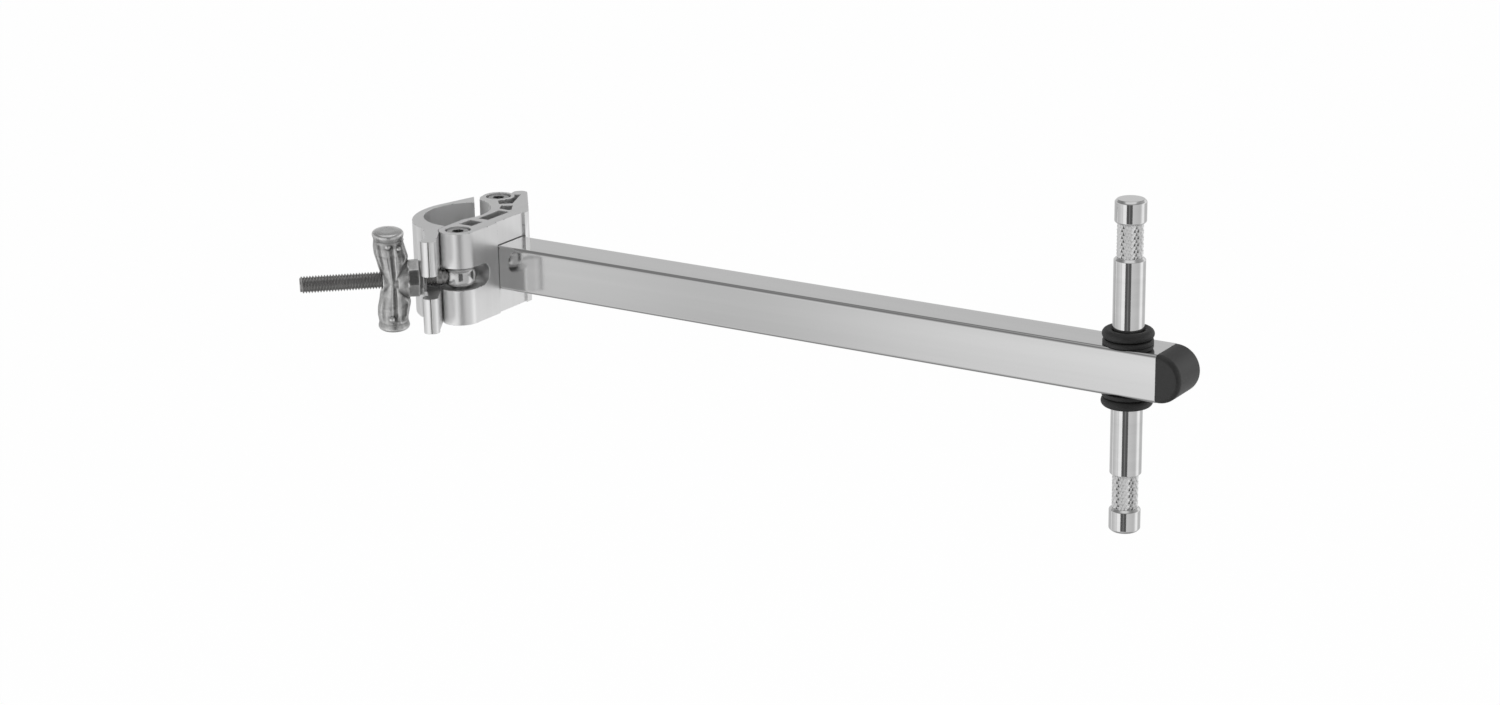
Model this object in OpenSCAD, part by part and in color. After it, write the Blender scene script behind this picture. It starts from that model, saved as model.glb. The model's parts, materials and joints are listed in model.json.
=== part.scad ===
// Side arm for film grip work: a hinged tube clamp at one end of a square arm,
// and a double-ended 16 mm spigot at the other. Millimetres, +Z up.
// Origin: centre of the clamped tube, half way up the jaws. +X runs along the arm.

/* [Clamp body] */
// Height of both jaws
clamp_h = 52; // [46:1:70]
// Radius of the seat that both jaws put round the tube
seat_r = 26.5; // [25.5:0.25:27.5]
// Thickness of the fixed jaw from the bottom of its seat to the back face
seat_back = 18.3; // [17.5:0.1:22]
// Width of the bar that carries the bolt pivot
bar_w = 21.2; // [20.5:0.1:23]
// Distance from the tube centre to the bolt pivot, across the arm
pivot_drop = 31.6; // [30.5:0.1:34]
// Distance from the tube centre to the hinge pin, across the arm
hinge_rise = 37.6; // [37:0.1:40]
// Distance from the tube centre to the hinge pin, along the arm
hinge_along = 10; // [9:0.1:11]
// Radius of the boss round the hinge pin
boss_r = 9.2; // [9.1:0.1:9.8]
// Wall between the lightening pockets and the back face
back_wall = 8.5; // [7:0.1:9]
// Depth of the channel that the arm stands in
channel_depth = 1.3; // [0.5:0.1:2.5]

/* [Moving jaw] */
// Thinnest wall of the curved part of the moving jaw
jaw_wall = 4; // [3:0.1:4.5]
// How far the centre of the outer curve lies towards the arm from that of the seat
outer_shift = 8.6; // [7:0.1:10]
// Gap between the closed jaw and the bar of the fixed jaw
slit = 0.35; // [0.3:0.05:0.8]
// Distance from the bolt pivot to the face that the wing nut pulls on
plate_face = 18.8; // [18.4:0.1:20]
// Radius of the lip that keeps the nut on the forked plate
lip_r = 4.4; // [4:0.1:5]
// Distance from the bolt to the centre of the lip, along the plate
lip_reach = 19; // [18:0.1:22]
// Height of the hinge knuckle
knuckle_h = 22; // [14:0.5:24]
// Radius of the hinge knuckle
knuckle_r = 8.6; // [8:0.1:8.8]

/* [Bolt and wing nut] */
// Outer diameter of the thread
bolt_d = 9.525; // [8:0.005:9.6]
// Length of the eyebolt from the pivot to the tip
bolt_len = 87.6; // [84:0.1:110]
// Diameter of the eye
eye_d = 17.6; // [16:0.1:18.4]
// Height of the eye
eye_h = 10.8; // [9:0.1:11.6]
// Height of the slots that the bolt lies in
slot_h = 12.4; // [12:0.1:14]
// Outer diameter of the seat washer
washer_d = 16.4; // [14:0.1:16.8]
// Thickness of the seat washer
washer_t = 1.5; // [1:0.1:2]
// Length of the wing nut along the bolt
nut_len = 22.6; // [20:0.1:26]
// Distance over the tips of both wings
wing_span = 58.4; // [50:0.1:70]
// Diameter of the rim at each wing tip
wing_tip_d = 17.3; // [14:0.1:19]
// Diameter of the cast collar, over its corners
collar_d = 20.4; // [18:0.1:20.6]
// Turn of the wings away from upright
wing_turn = -6; // [-45:1:45]

/* [Pins and screws] */
// Diameter of the hinge and pivot screws
pin_d = 8; // [6:0.1:8]
// Diameter of the screw heads
head_d = 13; // [11:0.1:13.2]
// Height of the screw heads
head_h = 8; // [5:0.1:9]
// Width of the nuts across their flats
nut_af = 13; // [10:0.1:13.2]
// Height of the nuts
nut_h = 8; // [5:0.1:9]
// Diameter of the screw that holds the arm
clamp_screw_d = 8; // [6:0.1:8]

/* [Arm] */
// Outer width of the square tube
tube_w = 25; // [22:0.5:25.4]
// Wall of the square tube
tube_wall = 2; // [1.5:0.1:2.5]
// Length of the square tube
tube_len = 402.5; // [200:0.5:800]
// Offset of the arm's axis from the centre of the clamped tube
arm_y = 2.8; // [2:0.1:3.2]
// Outer corner radius of the tube
tube_corner = 2; // [1.6:0.1:3]

/* [Spigot] */
// Diameter of both spigots
stud_d = 16; // [15.9:0.01:16]
// Distance over both spigot heads
stud_len = 172.6; // [150:0.1:200]
// Distance from the end of the tube to the spigot axis
stud_inset = 21.1; // [20:0.1:30]
// Diameter of the knurled waist under each head
waist_d = 13.4; // [11:0.1:13.6]
// Length of each head
head_len = 12.4; // [8:0.1:13]
// Length of each knurled waist
waist_len = 17.1; // [14:0.1:20]
// Outer diameter of the rubber rings
ring_d = 26.2; // [25.6:0.1:28]
// Thickness of the rubber rings
ring_t = 5; // [4.6:0.1:5]
// Outer diameter of the rubber flanges under the rings
flange_d = 25.6; // [24:0.1:27]
// Thickness of the rubber flanges
flange_t = 2.5; // [1.5:0.1:4]
// Edge rounding of the end cap
cap_round = 2.6; // [1:0.1:4]

/* [Hidden] */
$fn = 64;

aluminium = [0.77, 0.77, 0.78];
chrome = [0.86, 0.86, 0.87];
steel = [0.55, 0.55, 0.56];
cast_grey = [0.50, 0.50, 0.50];
rubber = [0.17, 0.17, 0.17];

// A hair more than a face, so that cuts pass right through it
over = 1;
// Gap between a pin and its hole, on the radius
pin_gap = 0.06;
// Gap between parts that are assembled and then stay still, on each side
seat_gap = 0.1;
// Gap between parts that turn past each other, on each side
swing_gap = 0.4;

// Places in plan, measured from the centre of the clamped tube
back_x = seat_r + seat_back;
bar_x = back_x - bar_w;
pivot = [back_x - bar_w / 2, -pivot_drop];
hinge = [hinge_along, hinge_rise];
tube_x = back_x - channel_depth;
tube_end = tube_x + tube_len;
stud_x = tube_end - stud_inset;

// A unit vector in plan
function along(a) = [cos(a), sin(a)];

// Where the line from p touches a circle, on its right-hand side
function touch(p, c, r) =
    let (v = c - p, d = norm(v), a = atan2(v[1], v[0]) - asin(r / d))
    p + sqrt(d * d - r * r) * along(a);

// The bolt leaves its pivot at this angle, square to the plate it clamps
bolt_angle = 222.5;
bolt_dir = along(bolt_angle);
plate_dir = along(bolt_angle + 90);
function at_bolt(n, t) = pivot + n * bolt_dir + t * plate_dir;

// Fixed jaw: the raked shoulder, the lobe behind the hinge, the tip of the seat
shoulder = [back_x, arm_y + tube_w / 2 + 4.2];
lobe = hinge + [6.2, 12];
lobe_r = 4.4;
jaw_tip = hinge + [-7.8, -7];
seat_tip = (seat_r - over) * along(76);
seat_wall = 2.8;
pocket_x = back_x - back_wall;
pocket_len = 19.5;
pivot_pocket = 9.8;
pivot_wall = 3.8;
rib = 4.9;
head_sink = 0.7;
bore_d = head_d + 1.2;

// Moving jaw: it closes about the hinge, so its seat lies nearer the arm
mov_seat = [bar_x - 2.3, -2.5];
outer_c = mov_seat + [outer_shift, -1];
outer_r = seat_r + jaw_wall + outer_shift;
flank_angle = 161.1;
flank_lift = 3;
flank_dir = along(flank_angle - 90 + flank_lift);
flank = outer_c + outer_r * along(flank_angle);
flank_len = 21.2;
end_angle = -51.7;
end_dir = along(end_angle);
jaw_end = flank + flank_len * flank_dir;
foot = at_bolt(plate_face, -8.7);
lip_sink = 1;
plate_t = 4.8;
foot_n = 10.2;
slot_back = -6;
neck_w = 10.5;

// Wing nut: the collar, then the hub that carries the wings
nut_start = plate_face + washer_t;
collar_len = nut_len * 0.38;
wing_at = nut_start + nut_len - 6.2;
hub_r = bolt_d / 2 + 4;

// Spigot: a screw in its middle groove holds it, and each rubber sits in a groove
rubber_seat_r = stud_d / 2 - 0.5;
rubber_top = tube_w / 2 + flange_t + ring_t + 0.2;
groove_r = stud_d / 2 - 1;
groove_h = 6.6;
set_screw_d = 6;
block_len = 26;
cap_depth = 7.5;
tube_inner = tube_w - 2 * tube_wall;
plug_len = 25;
socket_af = 6;

module ring(r_out, r_in, h) {
    difference() {
        cylinder(r = r_out, h = h);
        translate([0, 0, -over]) cylinder(r = r_in, h = h + 2 * over);
    }
}

module rounded_rect(w, h, r) {
    square([w - 2 * r, h], center = true);
    square([w, h - 2 * r], center = true);
    for (x = [-1, 1], y = [-1, 1])
        translate([x * (w / 2 - r), y * (h / 2 - r)]) circle(r = r);
}

module hex_hole(af, h) {
    cylinder(r = af / 2 / cos(30), h = h, $fn = 6);
}

// Points a part that was drawn along +Z along the bolt instead
module on_bolt(n) {
    translate([at_bolt(n, 0)[0], at_bolt(n, 0)[1], 0])
        rotate([0, 0, bolt_angle]) rotate([0, 90, 0]) children();
}

module along_arm(x) {
    translate([x, arm_y, 0]) rotate([90, 0, 90]) children();
}

// A bar of the slot's height that the bolt can swing or slide in
module bolt_slot(start, t0, t1) {
    r = slot_h / 2;
    run = 2 * plate_face;
    translate([pivot[0], pivot[1], 0]) rotate([0, 0, bolt_angle]) {
        translate([start, t0 + r, 0]) rotate([0, 90, 0]) cylinder(r = r, h = run);
        translate([start, t0 + r, -r]) cube([run, t1 - t0, slot_h]);
    }
}

module fixed_jaw_section() {
    difference() {
        union() {
            translate([bar_x, pivot[1]]) square([bar_w, shoulder[1] - pivot[1]]);
            translate(pivot) circle(r = bar_w / 2);
            polygon([
                [bar_x, 0], [back_x, 0], shoulder, touch(shoulder, lobe, lobe_r),
                lobe, hinge + [-boss_r, 0], jaw_tip, seat_tip
            ]);
            translate(hinge) circle(r = boss_r);
            translate(lobe) circle(r = lobe_r);
        }
        circle(r = seat_r, $fn = 128);
        fixed_jaw_pockets();
        translate([tube_x, arm_y - tube_w / 2 - seat_gap])
            square([channel_depth + over, tube_w + 2 * seat_gap]);
    }
}

module fixed_jaw_pockets() {
    clamp_pocket = [seat_r + seat_wall, arm_y - pocket_len / 2];
    translate(clamp_pocket) square([pocket_x - clamp_pocket[0], pocket_len]);
    pivot_top = clamp_pocket[1] - rib;
    translate([bar_x + pivot_wall, pivot_top - pivot_pocket])
        square([pocket_x - bar_x - pivot_wall, pivot_pocket]);
    top = arm_y + pocket_len / 2 + 3;
    polygon([
        (seat_r + 4.7) * along(30), [pocket_x - 2.4, top], [pocket_x - 1.7, top + 1.4],
        (seat_r + 12.3) * along(40.2), (seat_r + 5.7) * along(41.3)
    ]);
    difference() {
        polygon([
            hinge + [5.2, 7.2], hinge + [9, 9.2], hinge + [16.8, -9.2],
            (seat_r + 5.2) * along(48.6), hinge + [5, -7.4]
        ]);
        translate(hinge) circle(r = boss_r);
    }
}

// What the knuckle and its neck need at half height
module knuckle_room() {
    edge = swing_gap * 1.5 * along(-45);
    a = hinge + knuckle_r * along(310) + edge;
    b = jaw_end + neck_w * end_dir + edge;
    translate(hinge) circle(r = knuckle_r + 1.5 * swing_gap);
    polygon([a, b + 0.5 * (b - a), b + [-40, -10], hinge + [-40, 0], hinge]);
}

module pin_bores(at) {
    translate([at[0], at[1], 0]) {
        cylinder(r = pin_d / 2 + pin_gap, h = clamp_h + 2 * over, center = true);
        translate([0, 0, clamp_h / 2 - head_sink - head_h]) cylinder(r = bore_d / 2, h = head_h + over);
        translate([0, 0, -clamp_h / 2 - over])
            hex_hole(nut_af + 2 * seat_gap, nut_h + head_sink + over);
    }
}

module fixed_jaw() {
    color(aluminium) difference() {
        translate([0, 0, -clamp_h / 2]) linear_extrude(clamp_h) fixed_jaw_section();
        translate([0, 0, -knuckle_h / 2 - swing_gap])
            linear_extrude(knuckle_h + 2 * swing_gap) knuckle_room();
        pin_bores(hinge);
        pin_bores(pivot);
        slot_end = pivot[1] + eye_d / 2 - 1.6;
        translate([bar_x - over, slot_end, 0]) rotate([0, 90, 0])
            cylinder(r = slot_h / 2, h = bar_w + 2 * over);
        translate([bar_x - over, slot_end - 30, -slot_h / 2])
            cube([bar_w + 2 * over, 30, slot_h]);
        along_arm(0) {
            cylinder(r = clamp_screw_d / 2 + 0.2, h = back_x + over);
            cylinder(r = head_d / 2 + 0.6, h = seat_r + seat_wall + over);
        }
    }
}

module moving_jaw_section() {
    difference() {
        union() {
            intersection() {
                translate(outer_c) circle(r = outer_r, $fn = 128);
                polygon([
                    mov_seat, outer_c + (outer_r + 12) * along(flank_angle - 12),
                    flank - [60, 0], foot - [60, 0], foot
                ]);
            }
            polygon([flank - 1.5 * flank_dir, jaw_end, jaw_end + 16 * end_dir, mov_seat]);
            polygon([
                foot + [-3, 4], foot, at_bolt(plate_face, lip_reach),
                at_bolt(plate_face - lip_sink, lip_reach), at_bolt(plate_face - plate_t, lip_reach + 1),
                at_bolt(foot_n, 0.6), [bar_x - slit, pivot[1]], [bar_x - slit, mov_seat[1]], mov_seat
            ]);
            translate(at_bolt(plate_face - lip_sink, lip_reach)) circle(r = lip_r);
        }
        translate(mov_seat) circle(r = seat_r, $fn = 128);
        translate(pivot) circle(r = bar_w / 2 + slit);
        translate([bar_x - 2 * slit, pivot[1]]) square([bar_w, hinge_rise]);
    }
}

module knuckle_section() {
    translate(hinge) circle(r = knuckle_r);
    inward = along(end_angle - 90);
    polygon([
        hinge + (knuckle_r - 1) * along(195), jaw_end, jaw_end + 0.3 * end_dir + 2 * inward,
        jaw_end + neck_w * end_dir + 2 * inward, jaw_end + neck_w * end_dir,
        hinge + (knuckle_r - 1) * along(310)
    ]);
}

module moving_jaw() {
    color(aluminium) difference() {
        union() {
            translate([0, 0, -clamp_h / 2]) linear_extrude(clamp_h) moving_jaw_section();
            translate([0, 0, -knuckle_h / 2]) linear_extrude(knuckle_h) knuckle_section();
        }
        translate([hinge[0], hinge[1], 0])
            cylinder(r = pin_d / 2 + pin_gap, h = clamp_h, center = true);
        bolt_slot(0, slot_back, lip_reach + 2 * lip_r);
    }
}

// A socket head screw that hangs from its head at z = 0
module cap_screw(d, length, head_dia, head_height) {
    difference() {
        union() {
            translate([0, 0, -length]) cylinder(r = d / 2, h = length);
            cylinder(r = head_dia / 2, h = head_height - 0.6);
            translate([0, 0, head_height - 0.6])
                cylinder(r1 = head_dia / 2, r2 = head_dia / 2 - 0.6, h = 0.6);
        }
        translate([0, 0, head_height / 2]) hex_hole(socket_af, head_height);
    }
}

module jaw_screw(at) {
    seat_z = clamp_h / 2 - head_sink - head_h;
    translate([at[0], at[1], seat_z])
        cap_screw(pin_d, seat_z + clamp_h / 2 - head_sink, head_d, head_h);
}

module hinge_pin() {
    color(steel) jaw_screw(hinge);
}

module pivot_pin() {
    color(steel) jaw_screw(pivot);
}

// A lock nut: a hexagon with a plain collar that holds the locking ring
module lock_nut() {
    collar = nut_h * 0.2;
    difference() {
        union() {
            translate([0, 0, collar]) hex_hole(nut_af, nut_h - collar);
            cylinder(r = nut_af / 2 - 0.8, h = collar);
        }
        translate([0, 0, -over]) cylinder(r = pin_d / 2 + 0.01, h = nut_h + 2 * over);
    }
}

module pin_nuts() {
    color(steel) for (at = [hinge, pivot])
        translate([at[0], at[1], -clamp_h / 2 + head_sink]) lock_nut();
}

module eyebolt() {
    r = bolt_d / 2;
    soft = 1;
    neck = eye_d / 2 + 1.6;
    color(steel) difference() {
        union() {
            translate([pivot[0], pivot[1], 0]) rotate_extrude($fn = 96) polygon([
                [0, -eye_h / 2], [eye_d / 2 - soft, -eye_h / 2], [eye_d / 2, -eye_h / 2 + soft],
                [eye_d / 2, eye_h / 2 - soft], [eye_d / 2 - soft, eye_h / 2], [0, eye_h / 2]
            ]);
            on_bolt(0) rotate_extrude() polygon([
                [0, 0], [r - 0.7, 0], [r - 0.7, neck - 0.7], [r, neck], [r, bolt_len - 1],
                [r - 1, bolt_len], [0, bolt_len]
            ]);
        }
        translate([pivot[0], pivot[1], 0])
            cylinder(r = pin_d / 2 + pin_gap, h = eye_h + 2 * over, center = true);
    }
}

module seat_washer() {
    color(steel) on_bolt(plate_face) ring(washer_d / 2, bolt_d / 2 + 0.3, washer_t);
}

// One wing, turned about its own length, with a beaded rim at the tip
module wing() {
    tip = wing_tip_d / 2;
    reach = wing_span / 2;
    rotate_extrude() polygon([
        [0, reach * 0.1], [tip * 0.66, reach * 0.1], [tip * 0.72, reach * 0.2], [tip * 0.86, reach * 0.45],
        [tip * 0.97, reach * 0.66], [tip * 0.96, reach * 0.74], [tip * 0.88, reach * 0.82],
        [tip * 0.89, reach * 0.86], [tip, reach * 0.9], [tip, reach * 0.95],
        [tip * 0.92, reach * 0.985], [tip * 0.6, reach], [0, reach]
    ]);
}

module wing_nut() {
    sweep = 2;
    color(cast_grey) difference() {
        union() {
            on_bolt(nut_start) rotate([0, 0, wing_turn])
                cylinder(r = collar_d / 2, h = collar_len, $fn = 8);
            on_bolt(nut_start + collar_len / 2)
                cylinder(r1 = collar_d / 2 * cos(22.5) - 0.3, r2 = hub_r, h = nut_len - collar_len / 2);
            for (side = [0, 180])
                on_bolt(wing_at) rotate([0, 0, wing_turn + side]) rotate([0, 90 - sweep, 0]) wing();
        }
        on_bolt(nut_start - over) cylinder(r = bolt_d / 2 + pin_gap, h = nut_len + 2 * over);
    }
}

module clamp_screw() {
    low_head = 5;
    seat = pocket_x - washer_t;
    color(steel) along_arm(seat) mirror([0, 0, 1])
        cap_screw(clamp_screw_d - seat_gap, 26, head_d, low_head);
}

module clamp_washer() {
    color(steel) along_arm(pocket_x - washer_t)
        ring(head_d / 2 + 0.5, clamp_screw_d / 2 + 0.2, washer_t);
}

module tube_plug() {
    w = tube_inner - 2 * seat_gap;
    color(steel) along_arm(tube_x) difference() {
        linear_extrude(plug_len) rounded_rect(w, w, 1.5);
        translate([0, 0, -over]) cylinder(r = clamp_screw_d / 2, h = plug_len + 2 * over);
    }
}

module arm_tube() {
    color(chrome) difference() {
        along_arm(tube_x) linear_extrude(tube_len) difference() {
            rounded_rect(tube_w, tube_w, tube_corner);
            rounded_rect(tube_inner, tube_inner, 1);
        }
        translate([stud_x, arm_y, 0])
            cylinder(r = stud_d / 2 + seat_gap, h = tube_w + 2 * over, center = true);
    }
}

// Half of the spigot, from the middle of the tube to the top of its head
module spigot_half() {
    r = stud_d / 2;
    top = stud_len / 2;
    head_z = top - head_len;
    waist_z = head_z - waist_len;
    cone = r - waist_d / 2;
    edge = 1.2;
    rotate_extrude() polygon([
        [0, 0], [groove_r, 0], [groove_r, groove_h / 2], [r, groove_h / 2], [r, tube_w / 2],
        [rubber_seat_r, tube_w / 2], [rubber_seat_r, rubber_top], [r, rubber_top],
        [r, waist_z - cone], [waist_d / 2, waist_z],
        [waist_d / 2, head_z], [r - edge, head_z], [r, head_z + edge], [r, top - edge],
        [r - edge, top], [0, top]
    ]);
}

module spigot() {
    color(chrome) translate([stud_x, arm_y, 0]) for (side = [0, 180])
        rotate([side, 0, 0]) spigot_half();
}

module spigot_block() {
    w = tube_inner - 2 * seat_gap;
    color(aluminium) difference() {
        along_arm(stud_x - block_len / 2) linear_extrude(block_len) rounded_rect(w, w, 1.5);
        translate([stud_x, arm_y, 0])
            cylinder(r = stud_d / 2 + seat_gap, h = tube_w, center = true);
        along_arm(stud_x) cylinder(r = set_screw_d / 2, h = block_len);
    }
}

module spigot_set_screw() {
    start = stud_x + groove_r;
    length = block_len / 2 - groove_r;
    color(steel) along_arm(start) difference() {
        cylinder(r = set_screw_d / 2 - 0.05, h = length);
        translate([0, 0, length / 2]) hex_hole(3, length);
    }
}

// A rubber ring squeezed into its groove, on a flange on the face of the tube
module rubber_ring(side) {
    r = ring_t / 2;
    color(rubber) translate([stud_x, arm_y, side * (tube_w / 2 + flange_t + r)])
        rotate_extrude() for (x = [rubber_seat_r + 0.05 + r, ring_d / 2 - r])
            translate([x, 0]) circle(r = r, $fn = 32);
}

module rubber_flange(side) {
    soft = flange_t * 0.3;
    r = flange_d / 2;
    hole = rubber_seat_r + 0.05;
    color(rubber) translate([stud_x, arm_y, side * tube_w / 2]) mirror([0, 0, side < 0 ? 1 : 0])
        rotate_extrude() polygon([
            [hole, 0], [r, 0], [r, flange_t - soft], [r - soft, flange_t], [hole, flange_t]
        ]);
}

module upper_ring() {
    rubber_ring(1);
}

module upper_flange() {
    rubber_flange(1);
}

module lower_ring() {
    rubber_ring(-1);
}

module lower_flange() {
    rubber_flange(-1);
}

// A half round cap with soft edges, on a hollow square plug
module end_cap() {
    half = tube_w / 2;
    plug = tube_inner - 2 * seat_gap;
    color(rubber) {
        intersection() {
            translate([tube_end + 0.8, arm_y, 0]) rotate([90, 0, 0]) rotate_extrude($fn = 96)
                intersection() {
                    translate([-half, -half]) square(tube_w);
                    rounded_rect(tube_w, tube_w, cap_round);
                    translate([0, -half]) square([half, tube_w]);
                }
            translate([tube_end, arm_y - tube_w, -tube_w]) cube([tube_w, 2 * tube_w, 2 * tube_w]);
        }
        along_arm(tube_end - cap_depth) linear_extrude(cap_depth + 0.2) difference() {
            rounded_rect(plug, plug, 1);
            rounded_rect(plug - 4, plug - 4, 1);
        }
    }
}

fixed_jaw();
moving_jaw();
hinge_pin();
pivot_pin();
pin_nuts();
eyebolt();
seat_washer();
wing_nut();
clamp_screw();
clamp_washer();
tube_plug();
arm_tube();
spigot();
spigot_block();
spigot_set_screw();
upper_ring();
upper_flange();
lower_ring();
lower_flange();
end_cap();
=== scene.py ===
import json
import math

import bmesh
import bpy
from bpy.props import FloatProperty, FloatVectorProperty, IntProperty, PointerProperty
from mathutils import Matrix, Vector


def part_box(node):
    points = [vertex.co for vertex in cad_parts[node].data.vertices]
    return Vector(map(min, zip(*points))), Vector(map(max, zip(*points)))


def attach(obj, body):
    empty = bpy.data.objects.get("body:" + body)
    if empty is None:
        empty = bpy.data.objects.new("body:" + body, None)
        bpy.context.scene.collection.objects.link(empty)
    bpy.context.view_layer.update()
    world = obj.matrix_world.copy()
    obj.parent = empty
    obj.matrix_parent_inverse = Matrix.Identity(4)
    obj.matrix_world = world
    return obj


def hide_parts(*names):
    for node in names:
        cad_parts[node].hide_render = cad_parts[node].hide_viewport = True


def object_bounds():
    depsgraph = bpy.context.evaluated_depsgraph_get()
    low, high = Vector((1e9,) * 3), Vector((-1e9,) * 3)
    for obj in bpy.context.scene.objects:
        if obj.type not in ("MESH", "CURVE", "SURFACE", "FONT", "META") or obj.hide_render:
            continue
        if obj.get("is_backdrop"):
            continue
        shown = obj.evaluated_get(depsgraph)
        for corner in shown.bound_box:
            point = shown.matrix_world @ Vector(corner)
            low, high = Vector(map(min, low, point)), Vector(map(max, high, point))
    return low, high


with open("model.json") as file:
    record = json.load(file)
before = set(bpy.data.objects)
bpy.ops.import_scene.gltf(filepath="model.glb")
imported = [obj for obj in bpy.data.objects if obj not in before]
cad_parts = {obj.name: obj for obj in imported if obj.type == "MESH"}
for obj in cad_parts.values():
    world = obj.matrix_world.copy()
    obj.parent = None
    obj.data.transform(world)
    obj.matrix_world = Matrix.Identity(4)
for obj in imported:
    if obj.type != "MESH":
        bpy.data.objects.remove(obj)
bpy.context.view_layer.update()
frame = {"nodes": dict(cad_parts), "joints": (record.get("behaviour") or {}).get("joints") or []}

bl_info = {
    "name": "Side Arm Dressing",
    "version": (1, 0, 0),
    "blender": (4, 5, 0),
    "location": "View3D > Sidebar > Side Arm",
    "description": "Detailed surfaces, thread, knurl and casting for a grip side arm",
    "category": "Object",
}

MM = 0.001
UP = Vector((0, 0, 1))

# How bright metal sees the room: by compass angle low down, then by height above
ROOM_AROUND = (
    (-180, 0.62), (-174, 0.88), (-167, 0.56), (-148, 0.62), (-131, 0.74), (-126, 0.74),
    (-123, 0.6), (-120, 0.84), (-114, 0.97), (-95, 0.95), (-49, 0.64), (3, 0.56),
    (13, 0.62), (24, 0.95), (40, 1.0), (47, 0.68), (58, 0.56), (75, 0.56), (123, 0.64), (165, 0.54),
)
ROOM_ABOVE = (
    (-1, 0.6), (0.1, 0.66), (0.34, 0.62), (0.5, 0.3), (0.8, 0.22), (0.88, 0.34), (0.93, 0.75),
)
# The upper room by compass angle; its brightness is divided by the plain one
PLAIN_GLOW = 0.66
ROOM_GLOW = (
    (-180, PLAIN_GLOW), (15, PLAIN_GLOW), (42, 1.0), (72, 1.0), (100, PLAIN_GLOW),
)
# Lumps left on the wings by the mould: across, front or back, along, radius, in millimetres
WING_LUMPS = (
    (2.5, 1, 21.7, 1.9), (-3.6, 1, 19.8, 1.3), (-4.6, -1, 21.4, 1.5), (1.2, -1, 20.6, 1.7),
    (1.8, 1, -21.2, 1.8), (-2.6, 1, -23.4, 1.3), (3.4, -1, -20.8, 1.6), (-1.6, -1, -22.3, 1.4),
    (5.2, 1, -25.2, 1.1), (-5.6, 1, 24.8, 1.1),
)
# Outline of half a wing: along the wing and its radius, in millimetres
WING_OUTLINE = (
    (0, 5.4), (3.6, 6.2), (7.6, 7.2), (12, 7.9), (16, 8.75), (20.3, 8.85), (22.4, 8.5),
    (24.2, 8.15), (25.4, 8.35), (26.4, 8.65), (27.3, 8.7), (28.1, 8.3), (28.7, 7.4), (29.1, 5),
)


def joint(name):
    """The joint of that name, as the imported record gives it."""
    return next(j for j in frame["joints"] if j["name"] == name)


def middle(node):
    """The centre of a CAD node's box."""
    low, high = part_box(node)
    return (low + high) / 2


def frame_at(origin, z_axis):
    """A matrix that stands a piece drawn along +Z on origin, with its Y as upright as can be."""
    z = Vector(z_axis).normalized()
    x = UP.cross(z).normalized()
    y = z.cross(x)
    turn = Matrix((x, y, z)).transposed().to_4x4()
    return Matrix.Translation(origin) @ turn


PIVOT = Vector(joint("bolt_swing")["pos_m"])
BOLT = frame_at(PIVOT, joint("nut_travel")["axis"])
STUD = Matrix.Translation(middle("spigot"))


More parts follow.
